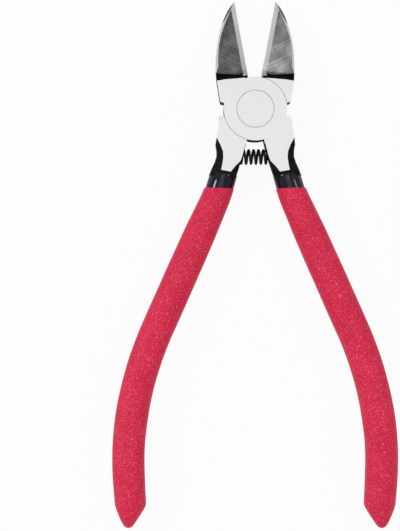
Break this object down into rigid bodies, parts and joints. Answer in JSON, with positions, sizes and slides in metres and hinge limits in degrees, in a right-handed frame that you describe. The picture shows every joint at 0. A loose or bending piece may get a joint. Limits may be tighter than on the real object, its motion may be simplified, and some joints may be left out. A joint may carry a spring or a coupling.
{
  "type": "sprue nippers",
  "caption": "Flush-cutting side nippers with lap-jointed levers on a flush rivet, a coil spring between the handles and curved twice-dipped grips.",
  "frame": {"origin": "centre of the tool's outline, on the surface it lies on", "axes": "+Y towards the cutting jaws, +Z out of the front face, +X to the right seen from the front"},
  "size_m": [0.0828, 0.152, 0.0106],
  "materials": {
    "ground_steel": "satin ground flats over black oxide, bright bevels",
    "black_spring_steel": "black oxide, slight gloss",
    "dark_dip": "glossy, navy-black",
    "red_dip": "soft vinyl with a fine glittering grain"
  },
  "bodies": {
    "front_half": {"front_lever": "ground_steel", "pivot_rivet": "ground_steel", "return_spring": "black_spring_steel", "right_inner_sleeve": "dark_dip", "right_grip": "red_dip"},
    "rear_half": {"rear_lever": "ground_steel", "left_inner_sleeve": "dark_dip", "left_grip": "red_dip"}
  },
  "joints": [
    {"name": "lever_pivot", "type": "hinge", "parent": "front_half", "child": "rear_half", "pos_m": [0, 0.0445, 0.0053], "axis": [0, 0, 1], "range_deg": [-23, 21.4], "stiffness_Nm_per_rad": 1.1, "deforming": ["return_spring"]}
  ]
}
